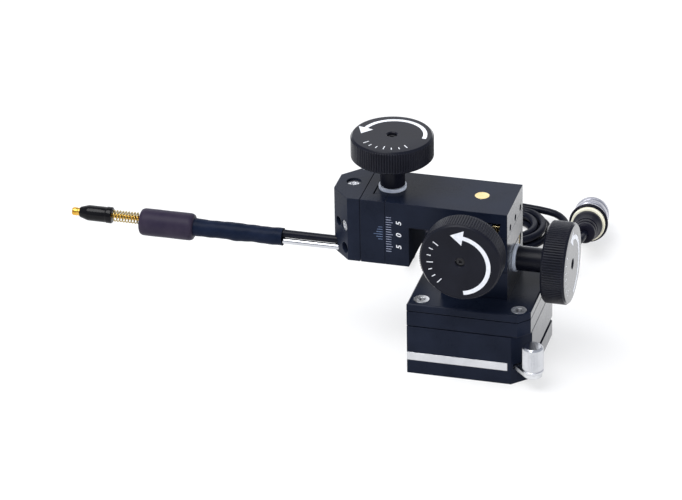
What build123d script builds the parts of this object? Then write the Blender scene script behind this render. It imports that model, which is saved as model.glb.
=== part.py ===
from build123d import *
import math
import os

os.makedirs("parts", exist_ok=True)

# Magnetic base, with the lever that switches it, in millimetres.
# The origin is the middle of the base's underside, +Z up, and the operator stands on the -Y side.
base_width = 45.8
base_depth = 46.5
base_height = 19.5
corner_cut = 6.5
pocket_radius = 16.0
pole_thickness = 2.5
rotor_gap = 0.3
rotor_thickness = 3.4
rotor_radius = 14.5
rotor_shaft_radius = 3.0
rotor_shaft_height = 6.0
lever_thickness = 1.5
lever_half_width = 3.5
lever_reach = 35.5
lever_rest_angle = -45.0
lever_sweep = 90.0
slot_clearance = 0.25
lever_knob_radius = 3.95
lever_knob_height = 10.6
lever_knob_edge = 0.4
lever_stud_radius = 1.25
lever_stud_cover = 3.0
lever_stud_gap = 0.2
lever_eye_radius = 6.0
pole_slot_half = 0.6
shaft_gap = 0.5
stripe_low = 5.5
stripe_high = 8.7
stripe_length = 37.9
stripe_depth = 0.6

# Plates between the base and the stage.
middle_thickness = 6.2
top_thickness = 3.3
rebate = 0.5
seam_groove = 0.35
plate_corner_cut = 4.2
plate_edge = 0.4
plate_screw_inset = 4.6
plate_screw_head = 2.9
plate_screw_head_height = 2.3
plate_screw_shank = 1.5
plate_screw_grip = 4.0
plate_hole_depth = 5.0
base_screw_grip = 7.0
base_hole_depth = 8.0
joint_screw_x = 9.0
joint_screw_y = 18.0

# The three slides share one dovetail, one screw and one knob.
stage_size = 25.0
travel = 6.5
dovetail_neck = 5.4
dovetail_wide = 6.9
dovetail_height = 5.3
seam_gap = 0.15
flank_gap = 0.06
roof_gap = 0.5
gib_thickness = 3.0
gib_height = 4.6
gib_end_gap = 0.3
screw_radius = 2.0
screw_lift = 0.1
screw_clearance = 0.05
tail_radius = 1.5
nut_radius = 2.7
nut_shift = -0.8
nut_clearance = 0.25
nut_end_gap = 0.35
nut_half_bore = 4.0
bush_radius = 3.2
washer_radius = 5.15
washer_thickness = 1.2
hub_radius = 4.6
hub_length = 11.4
knob_radius = 15.3
knob_thickness = 9.1
knob_edge = 0.6
knob_hole_radius = 1.7
knob_hole_depth = 2.5
locking_recess = 1.0
hexagon_share = 0.52
socket_share = 0.6
grub_socket_depth = 1.2
screw_end_gap = 0.3
gib_low = 0.4
channel_floor_gap = 0.1
x_nut_top = 9.8
z_nut_recess = 0.2
gib_screw_radius = 1.25
gib_screw_spacing = 8.0
gib_screw_shift = -0.6
gib_screw_height = 2.2
gib_screw_recess = 0.8

# Heights of the stage, from the underside of the base.
x_base_height = 11.2
carriage_height = 14.2
bar_height = 9.7
column_thickness = 9.0
column_left = -33.5
column_height = 25.7
slide_thickness = 9.3
block_thickness = 11.7
block_cut_x = 6.8
block_cut_y = 7.2
block_seam = 0.3
block_seam_depth = 0.35

# Screws of the clamp block. Rises are measured from the block's underside.
block_screw_shank = 1.25
block_screw_head = 2.25
block_screw_head_height = 2.4
block_screw_grip = 3.0
block_screw_gap = 0.3
block_screw_spots = [(-2.4, 17.6), (3.1, 17.6), (3.2, 9.3)]
clamp_screw_radius = 2.1
clamp_screw_recess = 0.4
clamp_hole_rise = 13.3
clamp_hole_along = 0.75
clamp_hole_depth = 6.5
rod_hole_rise = 4.2
rod_hole_along = 0.78
rod_hole_depth = 5.2
rod_screw_recess = 2.2
rod_screw_gap = 0.4
spare_hole_radius = 1.8
spare_hole_along = 0.33
spare_hole_depth = 4.0
top_hole_radius = 2.7
top_hole_x = 5.9
top_hole_y = 1.0
top_hole_depth = 5.0
top_screw_recess = 0.9

# Probe arm, clamped in the block.
arm_y = -5.2
rod_y = -6.1
rod_rise = 1.5
rod_radius = 1.1
rod_end_gap = 0.3
cable_radius = 1.4
front_cable_radius = 1.5
front_cable_rise = 4.05
cable_channel_gap = 0.25
sleeve_radius = 3.3
sleeve_rise = 2.55
sleeve_right = -74.45
sleeve_length = 34.25
sleeve_overlap = 4.0
sleeve_swell = 0.2
sleeve_swell_share = 0.47
sleeve_swell_half = 5.0
sleeve_waist = 0.1
shrink_gap = 0.02
collar_radius = 5.15
collar_length = 21.0
collar_rise = 2.45
collar_round = 1.5
collar_ease = 0.45
collar_step = 0.4
probe_rise = 3.6
core_radius = 0.85
core_seat = 4.5
core_end_gap = 1.0
spring_length = 10.95
spring_radius = 2.0
spring_wire = 0.25
spring_turns = 9
spring_end_gap = 0.1
tip_sleeve_length = 12.75
tip_sleeve_radius = 2.95
tip_band_length = 2.2
tip_band_rise = 0.15
tip_nose_radius = 1.95
tip_nose_length = 3.2
tip_radius = 1.55
tip_length = 2.95
tip_edge = 0.2
tip_seat = 3.0
tip_socket_radius = 0.5
tip_socket_depth = 2.5
plunge = 3.0
fit = 0.05

# Signal cable behind the object.
gland_x = -45.6
gland_length = 12.0
gland_radius = 2.3
gland_collar = 3.0
gland_lip = 0.5
elbow_radius = 9.0
tie_thickness = 0.7
tie_clearance = 0.05
cable_pitch = 3.3
coil_run = 49.0
coil_right_x = -10.6
coil_y = 88.0
coil_outer_radius = 16.85
coil_half_turns = 6
climb_ease = 6.0
arc_share = 0.45
plug_x = 22.7
plug_y = 73.5
plug_lean = 6.5
plug_droop = 12.5
boot_length = 13.0
boot_radius = 5.8
boot_tail_radius = 4.0
boot_lip = 0.6
boot_lip_step = 0.4
boot_grip_start = 7.5
boot_grip_end = 11.0
boot_seat_gap = 0.02
flange_length = 2.2
flange_radius = 6.6
seal_length = 1.6
seal_radius = 7.6
seal_depth = 1.2
shell_length = 13.0
shell_radius = 6.8
shell_wall = 1.1
shell_floor = 5.0
contact_radius = 1.2
contact_length = 3.0
tie_width = 3.0
tie_gap = 0.35
tie_inset = 3.0

# Levels that follow from the sizes above.
middle_bottom = base_height
top_bottom = middle_bottom + middle_thickness
deck = top_bottom + top_thickness
x_seam = deck + x_base_height
y_seam = x_seam + carriage_height
bar_top = y_seam + bar_height
column_bottom = bar_top - column_height
half_stage = stage_size / 2
column_mid = (column_bottom + bar_top) / 2
half_column = (bar_top - column_bottom) / 2
slide_left = column_left - slide_thickness
block_left = slide_left - block_thickness
lever_low = pole_thickness + rotor_gap + rotor_thickness
slot_low = lever_low - slot_clearance
slot_high = lever_low + lever_thickness + slot_clearance
channel_half = nut_radius + travel + nut_end_gap
z_nut_top = slide_thickness - z_nut_recess
clamp_hole_z = column_bottom + clamp_hole_rise
rod_hole_z = column_bottom + rod_hole_rise
rod_z = column_bottom + rod_rise
front_cable_z = column_bottom + front_cable_rise
sleeve_z = column_bottom + sleeve_rise
collar_z = column_bottom + collar_rise
probe_z = column_bottom + probe_rise
cable_floor = cable_radius + tie_thickness + tie_clearance
sleeve_left = sleeve_right - sleeve_length
collar_left = sleeve_left - collar_length
tip_sleeve_right = collar_left - spring_length
tip_sleeve_left = tip_sleeve_right - tip_sleeve_length
plug_length = boot_length + flange_length + seal_length + shell_length
droop = math.radians(plug_droop)
lean = math.radians(plug_lean)
plug_z = plug_length * math.sin(droop) + shell_radius * math.cos(droop)
plug_place = Vector(plug_x, plug_y, plug_z)
plug_way = Vector(-math.sin(lean) * math.cos(droop), math.cos(lean) * math.cos(droop), -math.sin(droop))


def save(shape, node):
    export_step(shape, "parts/" + node + ".step")


def rod(start, end, radius):
    """A round bar from one point to another."""
    axis = Vector(*end) - Vector(*start)
    plane = Plane(origin=start, z_dir=axis)
    return plane * extrude(Circle(radius), amount=axis.length)


def ring(start, end, outer, inner):
    """A round bar with a hole along it."""
    return rod(start, end, outer) - rod(start, end, inner)


def box(low, high):
    """A box between its lowest and its highest corner."""
    size = [b - a for a, b in zip(low, high)]
    middle = [(a + b) / 2 for a, b in zip(low, high)]
    return Pos(*middle) * Box(*size)


def bar_along_x(profile, start, length):
    """A profile of (y, z) points carried along X."""
    outline = Polyline(*[(start, y, z) for y, z in profile], close=True)
    return extrude(make_face(outline), amount=length, dir=(1, 0, 0))


def column_up(profile, low, high):
    """A profile of (x, y) points carried up from one level to another."""
    outline = Polyline(*[(x, y, low) for x, y in profile], close=True)
    return extrude(make_face(outline), amount=high - low, dir=(0, 0, 1))


def turned(profile, plane):
    """A profile of (along, radius) points turned round the plane's normal."""
    outline = Polyline(*[(radius, 0, along) for along, radius in profile], close=True)
    return plane * revolve(make_face(outline), Axis.Z)


def socket_screw(point, direction, head, head_height, shank, length):
    """A cap screw whose head's top is at the point and whose shank runs along the direction."""
    plane = Plane(origin=point, z_dir=direction)
    body = extrude(Circle(head), amount=head_height) + extrude(Circle(shank), amount=length)
    hexagon = extrude(RegularPolygon(head * hexagon_share, 6), amount=head_height * socket_share)
    return plane * (body - hexagon)


def grub_screw(start, end, radius):
    """A headless screw with its hexagon socket at the start."""
    axis = Vector(*end) - Vector(*start)
    plane = Plane(origin=start, z_dir=axis)
    socket = extrude(RegularPolygon(radius * hexagon_share, 6), amount=min(grub_socket_depth, axis.length / 2))
    return plane * (extrude(Circle(radius), amount=axis.length) - socket)


def arc_middle(start, end, tangent, side):
    """The middle of the arc from start to end whose tangent is given at one of its two ends."""
    chord = end - start
    along = chord.normalized()
    across = tangent - along * tangent.dot(along)
    if across.length < 1e-9:
        return None
    angle = math.radians(tangent.get_angle(along))
    return start + chord * 0.5 + across.normalized() * (side * chord.length / 2 * math.tan(angle / 2))


def biarc(start, start_tangent, end, end_tangent):
    """Two arcs that join smoothly and take both ends' tangents."""
    p0, t0 = Vector(*start), Vector(*start_tangent).normalized()
    p1, t1 = Vector(*end), Vector(*end_tangent).normalized()
    gap = p1 - p0
    both = t0 + t1
    spread = 2 * (1 - t0.dot(t1))
    reach = (-gap.dot(both) + math.sqrt(gap.dot(both) ** 2 + spread * gap.dot(gap))) / spread
    join = (p0 + p1 + (t0 - t1) * reach) * 0.5
    first = ThreePointArc(p0, arc_middle(p0, join, t0, 1), join)
    second = ThreePointArc(join, arc_middle(join, p1, t1, -1), p1)
    return [first, second]


def tube(path, radius):
    """A round tube along a smooth path."""
    wire = Wire(path) if isinstance(path, list) else path
    start = wire @ 0
    return sweep(Plane(origin=start, z_dir=wire % 0) * Circle(radius), path=wire)


def base_outline(corner, inset):
    """The plan of the base or a plate, with the two right corners cut off."""
    right = base_width / 2 - inset
    back = base_depth / 2 - inset
    cut = corner - inset * (2 - math.sqrt(2))
    return [(-right, -back), (right - cut, -back), (right, -back + cut),
            (right, back - cut), (right - cut, back), (-right, back)]


def plate_screw_places():
    x = base_width / 2 - plate_screw_inset
    y = base_depth / 2 - plate_screw_inset
    return [(-x, -y), (x, -y), (x, y), (-x, y)]


def lever_sector(low, high):
    """The space that the lever sweeps inside the base, a little wider than the lever at each end."""
    first = lever_rest_angle
    last = lever_rest_angle + lever_sweep
    reach = base_width
    ends = [(reach * math.cos(math.radians(angle)), reach * math.sin(math.radians(angle)))
            for angle in (first, last)]
    face = make_face([Line((0, 0), ends[0]), CenterArc((0, 0), reach, first, lever_sweep),
                      Line(ends[1], (0, 0))])
    space = Pos(0, 0, low) * extrude(face, amount=high - low)
    half = lever_half_width + slot_clearance
    for angle in (first, last):
        space += box((0, -half, low), (reach, half, high)).rotate(Axis.Z, angle)
    return space


def base_pieces():
    housing = column_up(base_outline(corner_cut, 0), 0, base_height)
    housing -= rod((0, 0, -1), (0, 0, slot_high), pocket_radius)
    housing -= lever_sector(slot_low, slot_high)
    shaft_top = lever_low + rotor_shaft_height
    housing -= rod((0, 0, 0), (0, 0, shaft_top + shaft_gap), rotor_shaft_radius + screw_clearance)
    front = -base_depth / 2
    left = -base_width / 2
    stripe = box((left, front, stripe_low), (left + stripe_length, front + stripe_depth, stripe_high))
    housing -= stripe
    for x, y in [(-joint_screw_y, 0), (0, -joint_screw_y), (0, joint_screw_y)]:
        housing -= rod((x, y, base_height - base_hole_depth), (x, y, base_height), plate_screw_shank + fit)
    save(housing, "base_housing")
    save(stripe, "base_stripe")
    pole = rod((0, 0, 0), (0, 0, pole_thickness), pocket_radius - fit)
    pole -= box((-pocket_radius, -pole_slot_half, -1), (pocket_radius, pole_slot_half, pole_thickness / 2))
    save(pole, "pole_plate")
    rotor_low = pole_thickness + rotor_gap
    magnet = rod((0, 0, rotor_low), (0, 0, lever_low), rotor_radius)
    magnet += rod((0, 0, lever_low), (0, 0, shaft_top), rotor_shaft_radius)
    save(magnet, "magnet_rotor")
    save(lever_plate(), "switch_lever")
    lever_top = lever_low + lever_thickness
    place = Vector(lever_reach, 0, 0).rotate(Axis.Z, lever_rest_angle)
    knob = rod((place.X, place.Y, lever_top), (place.X, place.Y, lever_top + lever_knob_height),
               lever_knob_radius)
    knob = chamfer(knob.edges().filter_by(GeomType.CIRCLE), lever_knob_edge)
    stud_top = lever_top + lever_knob_height - lever_stud_cover
    knob -= rod((place.X, place.Y, lever_top), (place.X, place.Y, stud_top + lever_stud_gap),
                lever_stud_radius + fit)
    save(knob, "lever_knob")
    save(rod((place.X, place.Y, lever_low), (place.X, place.Y, stud_top), lever_stud_radius), "lever_stud")


def lever_plate():
    """A flat arm with a round end under the knob and a round eye on the rotor's shaft."""
    arm = box((0, -lever_half_width, lever_low), (lever_reach, lever_half_width, lever_low + lever_thickness))
    top = lever_low + lever_thickness
    arm += rod((lever_reach, 0, lever_low), (lever_reach, 0, top), lever_half_width)
    arm += rod((0, 0, lever_low), (0, 0, top), lever_eye_radius)
    arm -= rod((0, 0, lever_low), (0, 0, top), rotor_shaft_radius + fit)
    arm -= rod((lever_reach, 0, lever_low), (lever_reach, 0, top), lever_stud_radius + fit)
    return arm.rotate(Axis.Z, lever_rest_angle)


def plate_pieces():
    middle = column_up(base_outline(plate_corner_cut, rebate), middle_bottom, middle_bottom + rebate)
    middle += column_up(base_outline(plate_corner_cut, 0), middle_bottom + rebate, top_bottom)
    top = column_up(base_outline(plate_corner_cut, rebate), top_bottom, top_bottom + seam_groove)
    top += column_up(base_outline(plate_corner_cut, 0), top_bottom + seam_groove, deck)
    top = chamfer(top.faces().sort_by(Axis.Z)[-1].edges(), plate_edge)
    head_low = deck - plate_screw_head_height
    screws = []
    for x, y in plate_screw_places():
        top -= rod((x, y, head_low), (x, y, deck + 1), plate_screw_head + fit * 2)
        top -= rod((x, y, top_bottom), (x, y, deck), plate_screw_shank + fit)
        middle -= rod((x, y, top_bottom - plate_hole_depth), (x, y, top_bottom), plate_screw_shank + fit)
        screws.append(socket_screw((x, y, deck), (0, 0, -1), plate_screw_head,
                                   plate_screw_head_height, plate_screw_shank,
                                   top_thickness + plate_screw_grip))
    save(Compound(screws), "top_plate_screws")
    deck_screws = []
    for x in (-joint_screw_x, joint_screw_x):
        for y in (-joint_screw_x, joint_screw_x):
            top -= rod((x, y, top_bottom), (x, y, top_bottom + plate_screw_head_height),
                       plate_screw_head + fit)
            top -= rod((x, y, top_bottom), (x, y, deck), plate_screw_shank + fit)
            deck_screws.append(socket_screw((x, y, top_bottom), (0, 0, 1), plate_screw_head,
                                            plate_screw_head_height, plate_screw_shank,
                                            top_thickness + plate_screw_grip))
    save(Compound(deck_screws), "x_base_screws")
    base_screws = []
    for x, y in [(-joint_screw_y, 0), (0, -joint_screw_y), (0, joint_screw_y)]:
        middle -= rod((x, y, top_bottom - plate_screw_head_height), (x, y, top_bottom),
                      plate_screw_head + fit)
        middle -= rod((x, y, middle_bottom), (x, y, top_bottom), plate_screw_shank + fit)
        base_screws.append(socket_screw((x, y, top_bottom), (0, 0, -1), plate_screw_head,
                                        plate_screw_head_height, plate_screw_shank,
                                        middle_thickness + base_screw_grip))
    save(Compound(base_screws), "base_screws")
    save(middle, "middle_plate")
    save(top, "top_plate")


def flank(height):
    """Half the dovetail's width at a height over the seam."""
    return dovetail_neck + (dovetail_wide - dovetail_neck) * height / dovetail_height


def dovetail_rail(half_length):
    """The fixed dovetail, standing on its seam."""
    profile = [(-dovetail_neck, 0), (dovetail_neck, 0), (dovetail_wide, dovetail_height),
               (-dovetail_wide, dovetail_height)]
    return bar_along_x(profile, -half_length, 2 * half_length)


def screw_channel(half_length):
    """What is cut from the fixed piece: the nut's slot and the bores at its two ends."""
    side = nut_radius + nut_clearance
    low = screw_lift - side - channel_floor_gap
    slot = box((nut_shift - channel_half, -side, low),
               (nut_shift + channel_half, side, dovetail_height + 1))
    far_bore = rod((-half_length - 1, 0, screw_lift), (0, 0, screw_lift), tail_radius + screw_clearance)
    bush_start = nut_shift + channel_half
    near_bore = rod((bush_start, 0, screw_lift), (half_length + 1, 0, screw_lift), bush_radius)
    return slot + far_bore + near_bore


def dovetail_groove(half_length):
    """What is cut from the moving piece: the groove with room for the gib on its +Y side."""
    low = -1.0
    high = dovetail_height + roof_gap
    near = flank_gap
    far = flank_gap * 2 + gib_thickness
    profile = [(-flank(low) - near, low), (flank(low) + far, low), (flank(high) + far, high),
               (-flank(high) - near, high)]
    length = 2 * half_length + 2
    return bar_along_x(profile, -half_length - 1, length)


def gib_screw_places():
    return [gib_screw_shift + gib_screw_spacing * step for step in (-1, 0, 1)]


def gib_screw_end():
    return flank(gib_screw_height + gib_screw_radius) + flank_gap * 2 + gib_thickness


def moving_cut(half_length, nut_top):
    """The groove, the nut's seat and the gib screws' threads, cut from the moving piece."""
    cut = dovetail_groove(half_length)
    cut += rod((nut_shift, 0, 0), (nut_shift, 0, nut_top), nut_radius + fit / 2)
    for x in gib_screw_places():
        cut += rod((x, 0, gib_screw_height), (x, half_stage + 1, gib_screw_height), gib_screw_radius + fit)
    return cut


def drive_pieces(axis_name, plane, half_length, nut_top):
    """The pieces that every slide repeats, built along +X with the knob at the +X end."""
    start = half_length
    gib = bar_along_x([(flank(gib_low) + flank_gap, gib_low),
                       (flank(gib_low) + flank_gap + gib_thickness, gib_low),
                       (flank(gib_height) + flank_gap + gib_thickness, gib_height),
                       (flank(gib_height) + flank_gap, gib_height)],
                      -half_length + gib_end_gap, 2 * (half_length - gib_end_gap))
    nut = rod((nut_shift, 0, screw_lift - nut_radius), (nut_shift, 0, nut_top), nut_radius)
    nut -= rod((nut_shift - nut_half_bore, 0, screw_lift), (nut_shift + nut_half_bore, 0, screw_lift),
               screw_radius + screw_clearance)
    bush_start = nut_shift + channel_half
    bush = ring((bush_start, 0, screw_lift), (start, 0, screw_lift), bush_radius, screw_radius + screw_clearance)
    washer = ring((start, 0, screw_lift), (start + washer_thickness, 0, screw_lift),
                  washer_radius, screw_radius + fit)
    hub_start = start + washer_thickness
    disc_start = hub_start + hub_length
    face = disc_start + knob_thickness
    screw_end = face - knob_hole_depth
    shoulder = nut_shift - channel_half + screw_end_gap
    lead_screw = rod((shoulder, 0, screw_lift), (screw_end, 0, screw_lift), screw_radius)
    lead_screw += rod((-half_length + screw_end_gap, 0, screw_lift), (shoulder, 0, screw_lift), tail_radius)
    knob = rod((disc_start, 0, screw_lift), (face, 0, screw_lift), knob_radius)
    knob = chamfer(knob.edges().filter_by(GeomType.CIRCLE), knob_edge)
    knob += rod((hub_start, 0, screw_lift), (disc_start, 0, screw_lift), hub_radius)
    knob -= rod((hub_start, 0, screw_lift), (screw_end, 0, screw_lift), screw_radius + fit / 2)
    knob -= rod((screw_end, 0, screw_lift), (face, 0, screw_lift), knob_hole_radius)
    locking = grub_screw((face - locking_recess, 0, screw_lift), (screw_end, 0, screw_lift), knob_hole_radius - fit)
    gib_screws = [grub_screw((x, half_stage - gib_screw_recess, gib_screw_height),
                             (x, gib_screw_end(), gib_screw_height), gib_screw_radius)
                  for x in gib_screw_places()]
    pieces = {"gib": gib, "nut": nut, "bush": bush, "washer": washer, "lead_screw": lead_screw,
              "knob": knob, "knob_screw": locking, "gib_screws": Compound(gib_screws)}
    for name, piece in pieces.items():
        save(plane * piece, axis_name + "_" + name)


x_plane = Plane(origin=(0, 0, x_seam), x_dir=(1, 0, 0), z_dir=(0, 0, 1))
y_plane = Plane(origin=(0, 0, y_seam), x_dir=(0, -1, 0), z_dir=(0, 0, 1))
z_plane = Plane(origin=(column_left, 0, column_mid), x_dir=(0, 0, 1), z_dir=(-1, 0, 0))


def stage_bodies():
    x_base = box((-half_stage, -half_stage, deck), (half_stage, half_stage, x_seam))
    x_base += x_plane * dovetail_rail(half_stage)
    x_base -= x_plane * screw_channel(half_stage)
    for x in (-joint_screw_x, joint_screw_x):
        for y in (-joint_screw_x, joint_screw_x):
            x_base -= rod((x, y, deck), (x, y, deck + plate_hole_depth), plate_screw_shank + fit)
    save(x_base, "x_base")
    carriage = box((-half_stage, -half_stage, x_seam + seam_gap), (half_stage, half_stage, y_seam))
    carriage -= x_plane * moving_cut(half_stage, x_nut_top)
    carriage += y_plane * dovetail_rail(half_stage)
    carriage -= y_plane * screw_channel(half_stage)
    save(carriage, "xy_carriage")
    bracket = box((column_left, -half_stage, y_seam + seam_gap), (half_stage, half_stage, bar_top))
    bracket += box((column_left, -half_stage, column_bottom),
                   (column_left + column_thickness, half_stage, y_seam + seam_gap))
    bracket -= y_plane * moving_cut(half_stage, bar_height + 1)
    bracket += z_plane * dovetail_rail(half_column)
    bracket -= z_plane * screw_channel(half_column)
    save(bracket, "z_bracket")
    slide = box((slide_left, -half_stage, column_bottom), (column_left - seam_gap, half_stage, bar_top))
    slide -= z_plane * moving_cut(half_column, slide_thickness + 1)
    for y, z in block_screw_places():
        slide -= rod((slide_left, y, z), (slide_left + block_screw_grip, y, z), block_screw_shank + fit)
    save(slide, "z_slide")


def block_screw_places():
    return [(y, column_bottom + rise) for y, rise in block_screw_spots]


def facet_point(along, height):
    """A point on the block's front-left facet, from its left edge to its right one."""
    return Vector(block_left + block_cut_x * along, -half_stage + block_cut_y * (1 - along), height)


def facet_inward():
    """The direction into the block, square to the front-left facet."""
    return Vector(block_cut_y, block_cut_x, 0).normalized()


def clamp_pieces():
    back = half_stage
    outline = [(slide_left, -back), (block_left + block_cut_x, -back), (block_left, -back + block_cut_y),
               (block_left, back - block_cut_y), (block_left + block_cut_x, back), (slide_left, back)]
    block = column_up(outline, column_bottom, bar_top)
    seam = box((slide_left - block_seam, -back, column_bottom), (slide_left, back, bar_top))
    seam -= box((slide_left - block_seam, -back + block_seam_depth, column_bottom + block_seam_depth),
                (slide_left, back - block_seam_depth, bar_top - block_seam_depth))
    block -= seam
    inward = facet_inward()
    upper = facet_point(clamp_hole_along, clamp_hole_z)
    lower = facet_point(rod_hole_along, rod_hole_z)
    spare = facet_point(spare_hole_along, clamp_hole_z)
    for point, radius, depth in [(upper, clamp_screw_radius + fit, clamp_hole_depth),
                                 (lower, clamp_screw_radius + fit, rod_hole_depth),
                                 (spare, spare_hole_radius, spare_hole_depth)]:
        block -= rod(tuple(point - inward), tuple(point + inward * depth), radius)
    hole_x = block_left + top_hole_x
    block -= rod((hole_x, top_hole_y, bar_top - top_hole_depth), (hole_x, top_hole_y, bar_top + 1),
                 top_hole_radius)
    block -= rod((block_left - 1, rod_y, rod_z), (slide_left, rod_y, rod_z), rod_radius + fit)
    block -= tube(front_cable_path(sleeve_right, half_stage + 1), front_cable_radius + cable_channel_gap)
    screws = []
    for y, z in block_screw_places():
        block -= rod((block_left, y, z), (block_left + block_screw_head_height, y, z), block_screw_head + fit)
        block -= rod((block_left, y, z), (slide_left, y, z), block_screw_shank + fit)
        screws.append(socket_screw((block_left, y, z), (1, 0, 0), block_screw_head, block_screw_head_height,
                                   block_screw_shank,
                                   block_thickness + block_screw_grip - block_screw_gap))
    save(block, "clamp_block")
    save(Compound(screws), "clamp_block_screws")
    side_screw = grub_screw(tuple(upper + inward * clamp_screw_recess),
                            tuple(upper + inward * clamp_hole_depth), clamp_screw_radius)
    top_screw = grub_screw((hole_x, top_hole_y, bar_top - top_screw_recess),
                           (hole_x, top_hole_y, bar_top - top_hole_depth), top_hole_radius - fit)
    save(Compound([side_screw, top_screw]), "clamp_screws")
    save(grub_screw(tuple(lower + inward * rod_screw_recess),
                    tuple(lower + inward * (rod_hole_depth - rod_screw_gap)), clamp_screw_radius),
         "rod_clamp_screw")


def front_cable_path(start_x, end_y):
    return FilletPolyline((start_x, arm_y, front_cable_z), (gland_x, arm_y, front_cable_z),
                          (gland_x, end_y, front_cable_z), radius=elbow_radius)


def arm_pieces():
    gland_end = half_stage + gland_length
    inner_end = sleeve_left + sleeve_overlap
    save(rod((inner_end, rod_y, rod_z), (slide_left - rod_end_gap, rod_y, rod_z), rod_radius), "probe_rod")
    save(tube(front_cable_path(inner_end, gland_end), front_cable_radius), "front_cable")
    gland_plane = Plane(origin=(gland_x, half_stage, front_cable_z), x_dir=(1, 0, 0), z_dir=(0, 1, 0))
    inner = front_cable_radius + fit
    gland = turned([(0, inner), (0, gland_radius), (gland_collar, gland_radius),
                    (gland_length, cable_radius + gland_lip), (gland_length, inner)], gland_plane)
    save(gland, "cable_gland")
    save(shrink_sleeve(inner_end), "shrink_sleeve")
    collar_plane = Plane(origin=(collar_left, arm_y, collar_z), x_dir=(0, 1, 0), z_dir=(1, 0, 0))
    shoulder = collar_length - collar_round
    collar = turned([(0, 0), (0, collar_radius - collar_round), (collar_ease, collar_radius - collar_step),
                     (collar_round, collar_radius), (shoulder, collar_radius),
                     (collar_length - collar_ease, collar_radius - collar_step),
                     (collar_length, collar_radius - collar_round), (collar_length, 0)], collar_plane)
    core_right = collar_left + core_seat
    collar -= rod((collar_left, arm_y, probe_z), (core_right, arm_y, probe_z), core_radius + fit)
    save(collar, "shrink_collar")
    core_left = tip_sleeve_left + tip_nose_length + core_end_gap + plunge
    save(rod((core_left, arm_y, probe_z), (core_right, arm_y, probe_z), core_radius), "arm_core")
    save(tip_spring(), "tip_spring")
    tip_plane = Plane(origin=(tip_sleeve_left, arm_y, probe_z), x_dir=(0, 1, 0), z_dir=(1, 0, 0))
    bore = core_radius + fit
    band = tip_sleeve_length - tip_band_length
    tip_sleeve = turned([(0, bore), (0, tip_nose_radius), (tip_nose_length, tip_sleeve_radius),
                         (band, tip_sleeve_radius), (band, tip_sleeve_radius + tip_band_rise),
                         (tip_sleeve_length, tip_sleeve_radius + tip_band_rise), (tip_sleeve_length, bore)],
                        tip_plane)
    save(tip_sleeve, "tip_sleeve")
    socket_end = tip_socket_depth - tip_length
    tip = turned([(-tip_length, tip_socket_radius), (-tip_length, tip_radius - tip_edge),
                  (-tip_length + tip_edge, tip_radius), (0, tip_radius), (0, core_radius),
                  (tip_seat, core_radius), (tip_seat, 0), (socket_end, 0), (socket_end, tip_socket_radius)],
                 tip_plane)
    save(tip, "probe_tip")


def shrink_sleeve(inner_end):
    """Shrink tube with a soft swelling half way, and room for the rod and the cable in it."""
    plane = Plane(origin=(sleeve_left, arm_y, sleeve_z), x_dir=(0, 1, 0), z_dir=(1, 0, 0))
    swell_at = sleeve_length * sleeve_swell_share
    waist = sleeve_radius - sleeve_waist
    outer = [(0, sleeve_radius), (swell_at - sleeve_swell_half, waist),
             (swell_at, sleeve_radius + sleeve_swell), (swell_at + sleeve_swell_half, waist),
             (sleeve_length, sleeve_radius)]
    sleeve = turned([(0, 0)] + outer + [(sleeve_length, 0)], plane)
    sleeve -= rod((inner_end, rod_y, rod_z), (sleeve_right, rod_y, rod_z), rod_radius + shrink_gap)
    sleeve -= rod((inner_end, arm_y, front_cable_z), (sleeve_right, arm_y, front_cable_z),
                  front_cable_radius + shrink_gap)
    return sleeve


def tip_spring():
    """An open coil spring of half-turn biarcs between the tip's sleeve and the collar."""
    end_room = spring_wire + spring_end_gap
    start = tip_sleeve_right + end_room
    length = spring_length - 2 * end_room
    rise = length / spring_turns
    slope = rise / (2 * math.pi * spring_radius)

    def point(turn):
        angle = 2 * math.pi * turn
        return (start + rise * turn, arm_y + spring_radius * math.cos(angle),
                probe_z + spring_radius * math.sin(angle))

    def tangent(turn):
        angle = 2 * math.pi * turn
        return (slope, -math.sin(angle), math.cos(angle))

    path = []
    for step in range(4 * spring_turns):
        path += biarc(point(step / 4), tangent(step / 4), point((step + 1) / 4), tangent((step + 1) / 4))
    print("spring turns", spring_turns, "gap between curls %.2f" % (rise - 2 * spring_wire))
    return tube(path, spring_wire)


lead_points = [
    (gland_x, half_stage + gland_length, front_cable_z),
    (gland_x, 32.0, front_cable_z),
    (-45.2, 40.0, 35.8),
    (-44.8, 44.0, 25.0),
    (-44.2, 47.5, 13.0),
    (-43.2, 53.5, 3.4),
    (-41.8, 63.35, cable_floor),
    (-49.6, 71.15, cable_floor),
    (coil_right_x - coil_run, 71.15, cable_floor),
]
upper_layer = cable_floor + cable_pitch
tail_points = [
    (coil_right_x, 104.85, upper_layer),
    (0.5, 104.85, upper_layer),
    (11.3, 97.6, 4.6),
    (10.5, 86.5, 2.6),
    (6.5, 76.5, cable_floor),
    (8.8, 64.6, 6.2),
    (16.8, 58.6, 11.6),
    tuple(plug_place - plug_way * 8.0),
    tuple(plug_place),
]


def route_path(points, name):
    """Straight runs joined by arcs as large as each corner's shorter run allows."""
    vectors = [Vector(*point) for point in points]
    radii = []
    for before, corner, after in zip(vectors, vectors[1:], vectors[2:]):
        turn = math.radians((corner - before).get_angle(after - corner))
        shorter = min((corner - before).length, (after - corner).length)
        radii.append(arc_share * shorter / math.tan(turn / 2))
    path = FilletPolyline(*points, radius=radii)
    print(name, "radii", " ".join("%.1f" % radius for radius in radii), "length %.1f" % path.length)
    return path


def checked_tube(path, radius, name):
    """A tube whose volume is printed beside its section times its length."""
    solid = tube(path, radius)
    length = path.length if not isinstance(path, list) else sum(edge.length for edge in path)
    print(name, "volume %.1f, section times length %.1f" % (solid.volume, math.pi * radius ** 2 * length))
    return solid


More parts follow.
